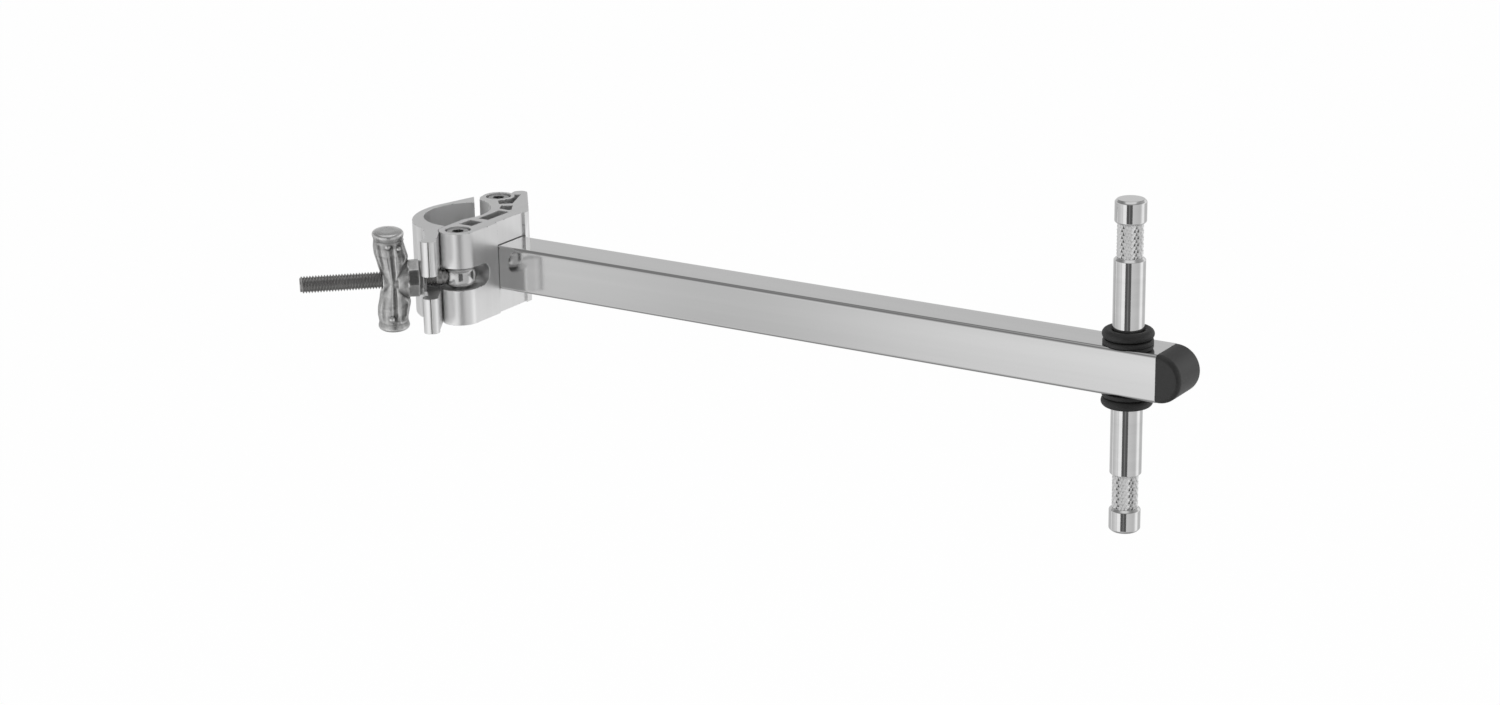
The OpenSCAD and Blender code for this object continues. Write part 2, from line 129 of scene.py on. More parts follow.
class SideArmSizes(bpy.types.PropertyGroup):
    """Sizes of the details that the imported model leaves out."""

    jaw_edge: FloatProperty(
        name="Jaw edge", description="Rounding of the jaws' edges",
        default=0.22 * MM, min=0, unit="LENGTH", precision=5)
    lip_reach: FloatProperty(
        name="Lip reach", description="From the bolt to the middle of the lip, along the fork",
        default=19 * MM, unit="LENGTH", precision=5)
    lip_rise: FloatProperty(
        name="Lip rise", description="From the pivot to the middle of the lip, along the bolt",
        default=17.8 * MM, unit="LENGTH", precision=5)
    lip_radius: FloatProperty(
        name="Lip radius", description="Radius of the lip",
        default=4.4 * MM, unit="LENGTH", precision=5)
    lip_line: FloatProperty(
        name="Lip line", description="Width of the line drawn along the lip",
        default=0.55 * MM, unit="LENGTH", precision=5)
    lip_line_depth: FloatProperty(
        name="Lip line depth", description="Depth of the line drawn along the lip",
        default=0.8 * MM, unit="LENGTH", precision=5)
    lip_line_angle: FloatProperty(
        name="Lip line angle", description="Place of the line round the lip, from the bolt",
        default=math.radians(85), subtype="ANGLE")
    tube_gap: FloatProperty(
        name="Tube gap", description="Width and depth of the gap round the tube's end in the jaw",
        default=0.45 * MM, unit="LENGTH", precision=5)
    screw_edge: FloatProperty(
        name="Screw edge", description="Rounding of screws, nuts and washers",
        default=0.16 * MM, min=0, unit="LENGTH", precision=5)
    tube_edge: FloatProperty(
        name="Tube edge", description="Rounding of the cut ends of the square tube",
        default=0.15 * MM, min=0, unit="LENGTH", precision=5)
    rubber_edge: FloatProperty(
        name="Rubber edge", description="Rounding of the rubber flanges",
        default=0.3 * MM, min=0, unit="LENGTH", precision=5)
    thread_diameter: FloatProperty(
        name="Thread", description="Outer diameter of the bolt's thread",
        default=9.5 * MM, unit="LENGTH", precision=5)
    thread_pitch: FloatProperty(
        name="Pitch", description="Distance between two crests of the thread",
        default=1.5875 * MM, unit="LENGTH", precision=6)
    thread_depth: FloatProperty(
        name="Thread depth", description="Depth of the thread's groove",
        default=0.92 * MM, unit="LENGTH", precision=5)
    thread_start: FloatProperty(
        name="Thread start", description="From the pivot to the first groove",
        default=12.2 * MM, unit="LENGTH", precision=5)
    bolt_length: FloatProperty(
        name="Bolt", description="From the pivot to the tip of the bolt",
        default=87.6 * MM, unit="LENGTH", precision=5)
    knurl_pitch: FloatProperty(
        name="Knurl pitch", description="Width of one diamond of the knurl",
        default=2.0 * MM, unit="LENGTH", precision=5)
    knurl_depth: FloatProperty(
        name="Knurl depth", description="Height of the diamonds of the knurl",
        default=0.55 * MM, unit="LENGTH", precision=5)
    head_length: FloatProperty(
        name="Stud head", description="Length of the stud's heads",
        default=12.4 * MM, unit="LENGTH", precision=5)
    waist_length: FloatProperty(
        name="Waist length", description="Length of the stud's knurled waists",
        default=17.1 * MM, unit="LENGTH", precision=5)
    waist_radius: FloatProperty(
        name="Waist radius", description="Radius of the stud's knurled waists",
        default=6.7 * MM, unit="LENGTH", precision=5)
    cast_voxel: FloatProperty(
        name="Casting grid", description="Grid on which the wing nut's parts are blended",
        default=0.3 * MM, unit="LENGTH", precision=5)
    nut_start: FloatProperty(
        name="Nut start", description="From the pivot to the face of the wing nut",
        default=20.3 * MM, unit="LENGTH", precision=5)
    nut_length: FloatProperty(
        name="Nut length", description="Length of the wing nut along the bolt",
        default=22.6 * MM, unit="LENGTH", precision=5)
    wing_turn: FloatProperty(
        name="Wing turn", description="Turn of the wings away from upright",
        default=math.radians(-6), subtype="ANGLE")
    wing_sweep: FloatProperty(
        name="Wing sweep", description="Lean of both wings away from the clamp",
        default=math.radians(2.2), subtype="ANGLE")
    wing_lean: FloatProperty(
        name="Wing lean", description="How far the cast bar leans off square to the bolt",
        default=math.radians(1.5), subtype="ANGLE")
    collar_radius: FloatProperty(
        name="Collar", description="Radius of the eight-sided collar over its corners",
        default=11.2 * MM, unit="LENGTH", precision=5)
    round_steps: IntProperty(
        name="Steps", description="Steps round a full circle of a turned piece",
        default=96, min=24)


class SideArmFinish(bpy.types.PropertyGroup):
    """Colours of the finishes, how worn the casting is, and the painted shade on its collar."""

    aluminium: FloatVectorProperty(
        name="Aluminium", description="Satin extruded aluminium",
        default=(0.95, 0.95, 0.95), subtype="COLOR", min=0, max=1)
    tube_chrome: FloatVectorProperty(
        name="Tube chrome", description="Plating of the square tube",
        default=(0.70, 0.70, 0.70), subtype="COLOR", min=0, max=1)
    stud_chrome: FloatVectorProperty(
        name="Stud chrome", description="Plating of the turned stud",
        default=(0.80, 0.80, 0.80), subtype="COLOR", min=0, max=1)
    zinc: FloatVectorProperty(
        name="Zinc", description="Plated screws and nuts",
        default=(0.40, 0.40, 0.40), subtype="COLOR", min=0, max=1)
    thread_steel: FloatVectorProperty(
        name="Thread steel", description="Dark oiled steel of the bolt",
        default=(0.46, 0.455, 0.45), subtype="COLOR", min=0, max=1)
    cast_dark: FloatVectorProperty(
        name="Casting, low", description="Hollows of the cast wing nut",
        default=(0.2, 0.2, 0.198), subtype="COLOR", min=0, max=1)
    cast_light: FloatVectorProperty(
        name="Casting, high", description="Worn ridges of the cast wing nut",
        default=(0.86, 0.86, 0.855), subtype="COLOR", min=0, max=1)
    cast_dull: FloatProperty(
        name="Casting, dull", description="How dull the plating is all over", default=0.25)
    # Painted shade: how much darker the collar's front facet is painted
    cast_front_shade: FloatProperty(
        name="Casting, stain", description="How darkened the collar's front is", default=0.42)
    cast_polish: FloatProperty(
        name="Casting, polish", description="How polished the wings' ends are", default=0.85)
    rubber: FloatVectorProperty(
        name="Rubber", description="Rubber of the rings",
        default=(0.013, 0.013, 0.013), subtype="COLOR", min=0, max=1)
    cap: FloatVectorProperty(
        name="Cap", description="Moulded end cap",
        default=(0.017, 0.017, 0.017), subtype="COLOR", min=0, max=1)


class SideArmStage(bpy.types.PropertyGroup):
    """Camera, floor and light."""

    azimuth: FloatProperty(
        name="Azimuth", description="Turn of the view from straight along +Y",
        default=math.radians(32.923), subtype="ANGLE")
    elevation: FloatProperty(
        name="Elevation", description="Height of the view above level",
        default=math.radians(17.571), subtype="ANGLE")
    roll: FloatProperty(
        name="Roll", description="Turn of the picture about the line of sight",
        default=math.radians(-0.939), subtype="ANGLE")
    camera_at: FloatVectorProperty(
        name="Camera", description="Place of the camera",
        default=(1.09068, -1.37025, 0.49012), subtype="TRANSLATION", unit="LENGTH")
    lens: FloatProperty(
        name="Lens", description="Focal length in millimetres, on a 36 mm wide picture",
        default=76.91)
    floor_z: FloatProperty(
        name="Floor", description="Height of the floor",
        default=-0.6, unit="LENGTH")
    panel_power: FloatProperty(
        name="Panels", description="Power of each side panel in watts",
        default=9.0)
    card_turn: FloatProperty(
        name="Card turn", description="Turn of the dark card about the stud, from the front",
        default=math.radians(18), subtype="ANGLE")
    card_reach: FloatProperty(
        name="Card reach", description="Distance of the dark card from the stud",
        default=0.65, unit="LENGTH")
    card_drop: FloatProperty(
        name="Card drop", description="Height of the dark card's middle below the stud's",
        default=0.02, unit="LENGTH")
    card_height: FloatProperty(
        name="Card height", description="Height of the dark card",
        default=0.68, unit="LENGTH")
    card_width: FloatProperty(
        name="Card width", description="Width of the dark card",
        default=0.5, unit="LENGTH")


def add(tree, kind, values=(), **settings):
    """A node with its settings, its values and its links; a value may be a socket."""
    made = tree.nodes.new(kind)
    for key, value in settings.items():
        setattr(made, key, value)
    for key, value in dict(values).items():
        if isinstance(value, bpy.types.NodeSocket):
            tree.links.new(value, made.inputs[key])
        else:
            made.inputs[key].default_value = value
    return made


def cleared_tree(owner):
    """The node tree of a material or the world, emptied."""
    owner.use_nodes = True
    owner.node_tree.nodes.clear()
    return owner.node_tree


def shader_group(name, inputs, outputs):
    """A new group with float or vector inputs and float outputs, and both its ends."""
    group = bpy.data.node_groups.new(name, "ShaderNodeTree")
    for label, default in inputs.items():
        kind = "NodeSocketVector" if hasattr(default, "__len__") else "NodeSocketFloat"
        socket = group.interface.new_socket(name=label, in_out="INPUT", socket_type=kind)
        socket.default_value = default
    for label in outputs:
        group.interface.new_socket(name=label, in_out="OUTPUT", socket_type="NodeSocketFloat")
    given = group.nodes.new("NodeGroupInput").outputs
    return group, given, group.nodes.new("NodeGroupOutput").inputs


def noise(tree, place, scale, detail=3.0, rough=0.55):
    """A noise texture's value at a place."""
    made = add(tree, "ShaderNodeTexNoise", {
        "Vector": place, "Scale": scale, "Detail": detail, "Roughness": rough})
    return made.outputs["Fac"]


def ramp(tree, value, low, high, to_low=0.0, to_high=1.0):
    """A value mapped from one range to another, held at both ends."""
    made = add(tree, "ShaderNodeMapRange", {
        "Value": value, "From Min": low, "From Max": high, "To Min": to_low, "To Max": to_high})
    return made.outputs["Result"]


def maths(tree, operation, a, b):
    """The result of one sum on two values."""
    return add(tree, "ShaderNodeMath", {0: a, 1: b}, operation=operation).outputs[0]


def mix(tree, kind, factor, low, high):
    """Two values or two colours mixed by a factor; each may be a socket."""
    made = add(tree, "ShaderNodeMix", {"Factor": factor, "A": low, "B": high}, data_type=kind)
    return made.outputs["Result"]


def make_line_group():
    """Fine drawn or turned lines: noise stretched by a scale of its own on each axis."""
    group, given, result = shader_group(
        "drawn_lines", {"Stretch": (1.0, 1.0, 1.0), "Size": 1000.0}, ["Lines", "Broad"])
    place = add(group, "ShaderNodeTexCoord").outputs["Object"]
    stretched = add(group, "ShaderNodeVectorMath", {0: place, 1: given["Stretch"]},
                    operation="MULTIPLY").outputs[0]
    fine = noise(group, stretched, given["Size"], 4.0, 0.6)
    wide = noise(group, stretched, maths(group, "MULTIPLY", given["Size"], 0.12), 2.0)
    group.links.new(fine, result["Lines"])
    group.links.new(wide, result["Broad"])
    return group


def make_wear_group():
    """Worn edges: the rounded edges of a piece, broken up by noise."""
    group, given, result = shader_group(
        "edge_wear", {"Cover": 0.5, "Size": 900.0}, ["Mask", "Dings"])
    place = add(group, "ShaderNodeTexCoord").outputs["Object"]
    edge = add(group, "ShaderNodeAttribute", attribute_name="edge").outputs["Fac"]
    patches = ramp(group, noise(group, place, given["Size"]), 0.35, 0.65)
    cover = maths(group, "MULTIPLY", patches, given["Cover"])
    mask = maths(group, "MULTIPLY", edge, cover)
    group.links.new(mask, result["Mask"])
    chips = ramp(group, noise(group, place, maths(group, "MULTIPLY", given["Size"], 0.5)),
                 0.58, 0.64)
    group.links.new(maths(group, "MULTIPLY", edge, chips), result["Dings"])
    return group


def make_speck_group():
    """Dust and small pits, scattered as round specks."""
    group, given, result = shader_group(
        "specks", {"Size": 1500.0, "Cover": 0.2}, ["Mask"])
    place = add(group, "ShaderNodeTexCoord").outputs["Object"]
    cells = add(group, "ShaderNodeTexVoronoi", {"Vector": place, "Scale": given["Size"]})
    near = ramp(group, cells.outputs["Distance"], 0.12, 0.3, 1.0, 0.0)
    some = ramp(group, noise(group, place, maths(group, "MULTIPLY", given["Size"], 0.4)),
                0.5, 0.72)
    mask = maths(group, "MULTIPLY", maths(group, "MULTIPLY", near, some), given["Cover"])
    group.links.new(mask, result["Mask"])
    return group


def make_cast_group():
    """The skin of a plated casting: a rough height, and worn and dull patches."""
    group, given, result = shader_group("cast_skin", {"Size": 300.0}, ["Height", "Patches"])
    place = add(group, "ShaderNodeTexCoord").outputs["Object"]
    coarse = noise(group, place, given["Size"], 4.0, 0.65)
    fine = noise(group, place, maths(group, "MULTIPLY", given["Size"], 6.0), 3.0, 0.7)
    height = maths(group, "ADD", maths(group, "MULTIPLY", coarse, 0.7),
                   maths(group, "MULTIPLY", fine, 0.3))
    patches = maths(group, "ADD", maths(group, "MULTIPLY", coarse, 0.45),
                    maths(group, "MULTIPLY", fine, 0.55))
    group.links.new(height, result["Height"])
    group.links.new(patches, result["Patches"])
    return group


def use(tree, group, **values):
    """A copy of a shader group in a material, with its inputs set."""
    made = add(tree, "ShaderNodeGroup", node_tree=group)
    for label, value in values.items():
        made.inputs[label].default_value = value
    return made.outputs


def new_material(name, **constants):
    """A material with an empty tree but for its output and its shader."""
    material = bpy.data.materials.new(name)
    tree = cleared_tree(material)
    shader = add(tree, "ShaderNodeBsdfPrincipled",
                 {label.replace("_", " "): value for label, value in constants.items()})
    add(tree, "ShaderNodeOutputMaterial", {"Surface": shader.outputs["BSDF"]})
    return material, tree, shader


def tint(tree, mask, low, high):
    """Two colours mixed by a mask; the low one may be a socket."""
    if not isinstance(low, bpy.types.NodeSocket):
        low = (*low, 1)
    return mix(tree, "RGBA", mask, low, (*high, 1))


def relief(tree, shader, height, distance):
    """Bump from a height of 0 to 1 that stands for a distance."""
    bump = add(tree, "ShaderNodeBump", {"Height": height, "Distance": distance, "Strength": 1.0})
    tree.links.new(bump.outputs["Normal"], shader.inputs["Normal"])


def shade(colour, factor):
    """A colour made lighter or darker, kept within range."""
    return tuple(min(1.0, c * factor) for c in colour)


def lined_metal(groups, name, colour, stretch, size, rough, spread, depth,
                tone=0.04, wear=0.0, dust=0.0):
    """Bare or plated metal: fine lines, bright worn edges with dark dings, a little dust."""
    material, tree, shader = new_material(name, Metallic=1.0)
    lines = use(tree, groups["lines"], Stretch=stretch, Size=size)
    base = tint(tree, ramp(tree, lines["Broad"], 0.3, 0.7),
                shade(colour, 1 - tone), shade(colour, 1 + tone))
    roughness = ramp(tree, lines["Lines"], 0.25, 0.75, rough - spread, rough + spread)
    if wear:
        worn = use(tree, groups["wear"], Cover=wear)
        bright, dark = shade(colour, 1.35), shade(colour, 0.35)
        base = tint(tree, worn["Mask"], base, bright)
        base = tint(tree, worn["Dings"], base, dark)
    if dust:
        specks = use(tree, groups["specks"], Cover=dust)["Mask"]
        roughness = maths(tree, "ADD", roughness, maths(tree, "MULTIPLY", specks, 0.5))
    tree.links.new(base, shader.inputs["Base Color"])
    tree.links.new(roughness, shader.inputs["Roughness"])
    relief(tree, shader, lines["Lines"], depth)
    return material


def cast_metal(groups, finish):
    """Plated cast iron: dull hollows, brighter high patches and a rough skin."""
    material, tree, shader = new_material("finish_cast", Metallic=1.0)
    skin = use(tree, groups["cast"], Size=700.0)
    # This mark also holds painted shade, which darkens the collar's front facet
    ridge_and_shade = add(tree, "ShaderNodeAttribute", attribute_name="ridge_and_shade").outputs["Fac"]
    worn = maths(tree, "ADD", maths(tree, "MULTIPLY", skin["Patches"], 1.5), ridge_and_shade)
    base = tint(tree, ramp(tree, worn, 0.6, 1.6), finish.cast_dark, finish.cast_light)
    tree.links.new(base, shader.inputs["Base Color"])
    rough = ramp(tree, skin["Patches"], 0.35, 0.65, 0.38, 0.24)
    tree.links.new(rough, shader.inputs["Roughness"])
    relief(tree, shader, skin["Height"], 0.09 * MM)
    return material


def dark_polymer(groups, name, colour, rough, grain, depth, dust):
    """Black rubber or plastic: a soft sheen, a fine grain and specks of dust."""
    material, tree, shader = new_material(name)
    shader.inputs["Specular IOR Level"].default_value = 0.45
    skin = use(tree, groups["cast"], Size=grain)
    specks = use(tree, groups["specks"], Size=1400.0, Cover=dust)["Mask"]
    cloud = ramp(tree, skin["Patches"], 0.3, 0.7)
    base = tint(tree, maths(tree, "ADD", maths(tree, "MULTIPLY", cloud, 0.35), specks),
                colour, shade(colour, 3.2))
    tree.links.new(base, shader.inputs["Base Color"])
    tree.links.new(ramp(tree, cloud, 0, 1, rough - 0.05, rough + 0.07), shader.inputs["Roughness"])
    relief(tree, shader, skin["Height"], depth)
    return material


def make_finishes(finish):
    """Every finish of the object, by name."""
    groups = {
        "lines": make_line_group(), "wear": make_wear_group(),
        "specks": make_speck_group(), "cast": make_cast_group(),
    }
    even, upright, across = (1.0, 1.0, 1.0), (1.0, 1.0, 0.02), (1.0, 0.08, 1.0)
    lengthwise, turned = (0.015, 1.0, 1.0), (0.05, 0.05, 1.0)
    eye_chrome = shade(finish.stud_chrome, 0.8)
    return {
        "aluminium": lined_metal(
            groups, "finish_aluminium", finish.aluminium, upright, size=2200.0,
            rough=0.37, spread=0.05, depth=0.006 * MM, tone=0.015, wear=0.5, dust=0.12),
        "sawn": lined_metal(
            groups, "finish_sawn", finish.aluminium, across, size=2600.0,
            rough=0.42, spread=0.05, depth=0.006 * MM, tone=0.015, dust=0.1),
        "tube": lined_metal(
            groups, "finish_tube", finish.tube_chrome, lengthwise, size=700.0,
            rough=0.085, spread=0.02, depth=0.0008 * MM, wear=0.3, dust=0.04),
        "stud": lined_metal(
            groups, "finish_stud", finish.stud_chrome, turned, size=1600.0,
            rough=0.07, spread=0.02, depth=0.0015 * MM, wear=0.3, dust=0.05),
        "knurl": lined_metal(
            groups, "finish_knurl", finish.stud_chrome, even, size=1200.0,
            rough=0.12, spread=0.03, depth=0.002 * MM, dust=0.1),
        "zinc": lined_metal(
            groups, "finish_zinc", finish.zinc, turned, size=1500.0,
            rough=0.26, spread=0.07, depth=0.003 * MM, wear=0.9, dust=0.15),
        "eye": lined_metal(
            groups, "finish_eye", eye_chrome, turned, size=900.0,
            rough=0.14, spread=0.05, depth=0.002 * MM, wear=0.4, dust=0.2),
        "thread": lined_metal(
            groups, "finish_thread", finish.thread_steel, even, size=900.0,
            rough=0.36, spread=0.1, depth=0.01 * MM, dust=0.2),
        "cast": cast_metal(groups, finish),
        "rubber": dark_polymer(
            groups, "finish_rubber", finish.rubber, rough=0.5, grain=500.0,
            depth=0.03 * MM, dust=0.05),
        "cap": dark_polymer(
            groups, "finish_cap", finish.cap, rough=0.42, grain=900.0,
            depth=0.02 * MM, dust=0.04),
    }


def finish_of(name):
    """A finish that was made before, by its short name."""
    return bpy.data.materials[f"finish_{name}"]


def mesh_from(name, bm):
    """A mesh from a bmesh, which is used up."""
    mesh = bpy.data.meshes.new(name)
    bm.to_mesh(mesh)
    bm.free()
    return mesh


def placed(name, data):
    """An object in the scene that shows a mesh, a lamp or a camera."""
    made = bpy.data.objects.new(name, data)
    bpy.context.scene.collection.objects.link(made)
    return made


def piece(name, bm, body, finishes, nodes=(), sharp=50):
    """An object from a bmesh, with finishes, on its body, in place of its CAD nodes."""
    mesh = mesh_from(name, bm)
    mesh.shade_smooth()
    mesh.set_sharp_from_angle(angle=math.radians(sharp))
    made = placed(name, mesh)
    for finish in finishes:
        mesh.materials.append(finish_of(finish))
    normals = made.modifiers.new("flat_faces", "WEIGHTED_NORMAL")
    normals.keep_sharp = True
    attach(made, body)
    if nodes:
        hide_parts(*nodes)
    return made


def node_copy(node):
    """A CAD node's mesh in a bmesh, with its loose triangles joined into flat faces."""
    bm = bmesh.new()
    bm.from_mesh(frame["nodes"][node].data)
    bmesh.ops.remove_doubles(bm, verts=bm.verts, dist=0.0005 * MM)
    bmesh.ops.dissolve_limit(bm, angle_limit=math.radians(0.4), verts=bm.verts, edges=bm.edges)
    bmesh.ops.recalc_face_normals(bm, faces=bm.faces)
    return bm


def soften(bm, width, angle=35):
    """Rounds the sharp edges, and marks the new faces as edge for the wear."""
    mark = bm.faces.layers.float.get("edge") or bm.faces.layers.float.new("edge")
    sharp = [e for e in bm.edges
             if len(e.link_faces) == 2 and e.calc_face_angle(0) > math.radians(angle)]
    made = bmesh.ops.bevel(bm, geom=sharp, offset=width, offset_type="OFFSET", affect="EDGES",
                           segments=3, profile=0.5, material=-1, clamp_overlap=False)
    for face in made["faces"]:
        face[mark] = 1.0
    return bm


def dressed(node, body, finishes, edge, angle=35):
    """A CAD node with rounded edges."""
    bm = soften(node_copy(node), edge, angle)
    return piece(f"{node}_dressed", bm, body, finishes, [node])


def fillet(a, b, c, radius):
    """Points of an arc that rounds the corner b of the path a, b, c."""
    steps = 5
    a, b, c = Vector(a), Vector(b), Vector(c)
    to_a, to_c = (a - b).normalized(), (c - b).normalized()
    half = to_a.angle(to_c) / 2
    reach = min(radius / math.tan(half), 0.45 * (a - b).length, 0.45 * (c - b).length)
    round_r = reach * math.tan(half)
    centre = b + (to_a + to_c).normalized() * (round_r / math.sin(half))
    first, last = b + to_a * reach - centre, b + to_c * reach - centre
    turn = first.angle_signed(last)
    return [centre + Matrix.Rotation(-turn * i / steps, 2) @ first for i in range(steps + 1)]


def rounded(points, radii):
    """A path with each inner corner rounded by its own radius; 0 leaves it sharp."""
    path = [Vector(points[0])]
    for i in range(1, len(points) - 1):
        if radii[i]:
            path += fillet(points[i - 1], points[i], points[i + 1], radii[i])
        else:
            path.append(Vector(points[i]))
    return path + [Vector(points[-1])]


def lathe(bm, path, steps):
    """A path of (radius, height) points spun about Z into a closed skin."""
    verts = [bm.verts.new((r, 0, z)) for r, z in path]
    edges = [bm.edges.new(pair) for pair in zip(verts, verts[1:])]
    bmesh.ops.spin(bm, geom=verts + edges, cent=(0, 0, 0), axis=(0, 0, 1),
                   angle=2 * math.pi, steps=steps, use_merge=True)
    bmesh.ops.remove_doubles(bm, verts=bm.verts, dist=0.0005 * MM)
    bmesh.ops.recalc_face_normals(bm, faces=bm.faces)
    return bm


def closed(bm):
    """The bmesh with its open ends filled and its faces turned outwards."""
    bmesh.ops.holes_fill(bm, edges=[e for e in bm.edges if e.is_boundary], sides=0)
    bmesh.ops.recalc_face_normals(bm, faces=bm.faces)
    return bm


def thread(bm, sizes, length, runout):
    """A right-hand thread along +Z from 0 to length, with a cone at its tip."""
    outer = sizes.thread_diameter / 2
    inner = outer - sizes.thread_depth
    pitch = sizes.thread_pitch
    per_turn, tip_step = 32, 0.15 * MM
    # Crest, flank, root and flank; heights are in pitches
    tooth = [(outer, 0), (outer, 0.14), (inner, 0.5), (inner, 0.64), (outer, 1)]
    verts = [bm.verts.new((r, 0, (z - 1.5) * pitch)) for r, z in tooth]
    edges = [bm.edges.new(pair) for pair in zip(verts, verts[1:])]
    turns = math.ceil(length / pitch) + 3
    bmesh.ops.spin(bm, geom=verts + edges, cent=(0, 0, 0), axis=(0, 0, 1),
                   dvec=(0, 0, pitch / per_turn), angle=2 * math.pi * turns,
                   steps=per_turn * turns)
    bmesh.ops.remove_doubles(bm, verts=bm.verts, dist=0.002 * MM)
    for height, side in ((0, -1), (length, 1)):
        bmesh.ops.bisect_plane(
            bm, geom=bm.verts[:] + bm.edges[:] + bm.faces[:], plane_co=(0, 0, height),
            plane_no=(0, 0, side), clear_outer=True)
    for vert in bm.verts:
        radius = math.hypot(vert.co.x, vert.co.y)
        tip = inner - tip_step + (length - vert.co.z)
        root = inner + max(0, runout - vert.co.z) * sizes.thread_depth / runout
        wanted = min(max(radius, root), max(tip, 0.5 * inner))
        vert.co.xy *= wanted / radius
    return closed(bm)


def knurled_sleeve(bm, radius, low, high, pitch, depth):
    """A closed sleeve whose side is covered with pointed diamonds."""
    columns = 4 * round(math.pi * radius / pitch)
    rows = 2 * round((high - low) / (1.65 * pitch))
    ring = bmesh.ops.create_circle(bm, segments=columns, radius=radius, cap_ends=False)["verts"]
    bmesh.ops.translate(bm, verts=ring, vec=(0, 0, low))
    loops = [ring]
    edges = list(bm.edges)
    for _ in range(rows):
        made = bmesh.ops.extrude_edge_only(bm, edges=edges)["geom"]
        verts = [g for g in made if isinstance(g, bmesh.types.BMVert)]
        edges = [g for g in made if isinstance(g, bmesh.types.BMEdge)]
        bmesh.ops.translate(bm, verts=verts, vec=(0, 0, (high - low) / rows))
        loops.append(verts)
    for row, loop in enumerate(loops):
        for vert in loop:
            column = round(math.atan2(vert.co.y, vert.co.x) * columns / (2 * math.pi))
            if (row + column) % 2 == 0:
                vert.co.xy *= (radius - depth) / radius
    bmesh.ops.triangulate(bm, faces=bm.faces, quad_method="SHORT_EDGE")
    return closed(bm)


def bell(value, centre, width):
    """1 at the centre, falling off smoothly to 0."""
    return math.exp(-((value - centre) / width) ** 2)


def between(value, low, high):
    """0 at low, 1 at high, held at both ends."""
    return min(1, max(0, (value - low) / (high - low)))


def wing_bar(sizes):
    """Both wings in one bar along Z: waisted and fluted, with a domed disc at each end."""
    half = [(r * MM, z * MM) for z, r in WING_OUTLINE]
    path = [(0, -half[-1][1])] + [(r, -z) for r, z in reversed(half)] + half[1:]
    bar = bmesh.new()
    lathe(bar, path + [(0, half[-1][1])], 144)
    long_edge = 0.9 * MM
    coarse = [e for e in bar.edges if abs(e.verts[0].co.z - e.verts[1].co.z) > long_edge]
    bmesh.ops.subdivide_edges(bar, edges=coarse, cuts=5)
    for vert in bar.verts:
        away = abs(vert.co.z) / MM
        width = max(math.hypot(vert.co.x, vert.co.y), 0.01 * MM)
        across, side = vert.co.x / width, vert.co.y / width
        # Thick at the hub, thin at the waist and full again at the disc
        thick = 1.5 - 0.7 * between(away, 0, 15) + 0.2 * between(away, 20, 25)
        # A groove along the middle of each face, and one beside each edge
        grooves = 1.9 * bell(across, -0.09, 0.17)
        grooves += 2.4 * bell(across, -0.66, 0.2) * between(away, 7, 14)
        grooves += 1.2 * bell(across, 0.72, 0.12) * between(away, 7, 12)
        fade = between(away, 23.2, 20.5) * (0.6 + 0.4 * between(away, 0, 6))
        vert.co.y = vert.co.y * thick - side * grooves * fade * MM
        # A web towards the clamp, then a small hollow before the disc
        web = 0.19 * bell(away, 12.5, 3) - 0.07 * bell(away, 21.5, 2.6)
        vert.co.x *= 1 + web * between(across, 0, -0.6)
        vert.co.x += math.tan(sizes.wing_sweep) * away * MM
        vert.co.x += math.tan(sizes.wing_lean) * vert.co.z
    return bar


def mark_hollows(bm, passes, tone_and_painted_shade):
    """Marks each vertex, low in a hollow and high on a crest, less a tone that it is given, which
    on the wing nut holds painted shade.
    """
    full_rise = 0.16 * MM
    mark = bm.verts.layers.float.new("ridge_and_shade")
    smooth = bm.copy()
    for _ in range(passes):
        bmesh.ops.smooth_vert(smooth, verts=smooth.verts, factor=0.5, use_axis_x=True,
                              use_axis_y=True, use_axis_z=True)
    for vert, moved in zip(bm.verts, smooth.verts):
        rise = (vert.co - moved.co).dot(vert.normal)
        vert[mark] = between(rise, -full_rise, full_rise) - tone_and_painted_shade(vert)
    smooth.free()


def join(bm, other):
    """Adds another bmesh's faces and frees it."""
    carrier = mesh_from("part", other)
    bm.from_mesh(carrier)
    bpy.data.meshes.remove(carrier)


def with_modifiers(bm, changes):
    """The bmesh after modifiers; changes adds them to the object that it is given."""
    mesh = mesh_from("blank", bm)
    blank = placed("blank", mesh)
    changes(blank)
    bpy.context.view_layer.update()
    result = bpy.data.meshes.new_from_object(
        blank.evaluated_get(bpy.context.evaluated_depsgraph_get()))
    bpy.data.objects.remove(blank)
    bpy.data.meshes.remove(mesh)
    done = bmesh.new()
    done.from_mesh(result)
    bpy.data.meshes.remove(result)
    return done


def cut(bm, tool):
    """The bmesh less another one, which is used up."""
    mesh = mesh_from("tool", tool)
    cutter = placed("tool", mesh)

    def subtract(blank):
        change = blank.modifiers.new("cut", "BOOLEAN")
        change.object = cutter
        change.operation = "DIFFERENCE"
        change.solver = "EXACT"

    result = with_modifiers(bm, subtract)
    bpy.data.objects.remove(cutter)
    bpy.data.meshes.remove(mesh)
    return result


class SIDEARM_OT_finishes(bpy.types.Operator):
    """Makes the shader groups and every finish"""

    bl_idname = "sidearm.finishes"
    bl_label = "Finishes"

    def execute(self, context):
        made = make_finishes(context.scene.side_arm_finish)
        for name, material in made.items():
            if material.name != f"finish_{name}":
                raise RuntimeError(f"finish {name} was made under another name")
        return {"FINISHED"}


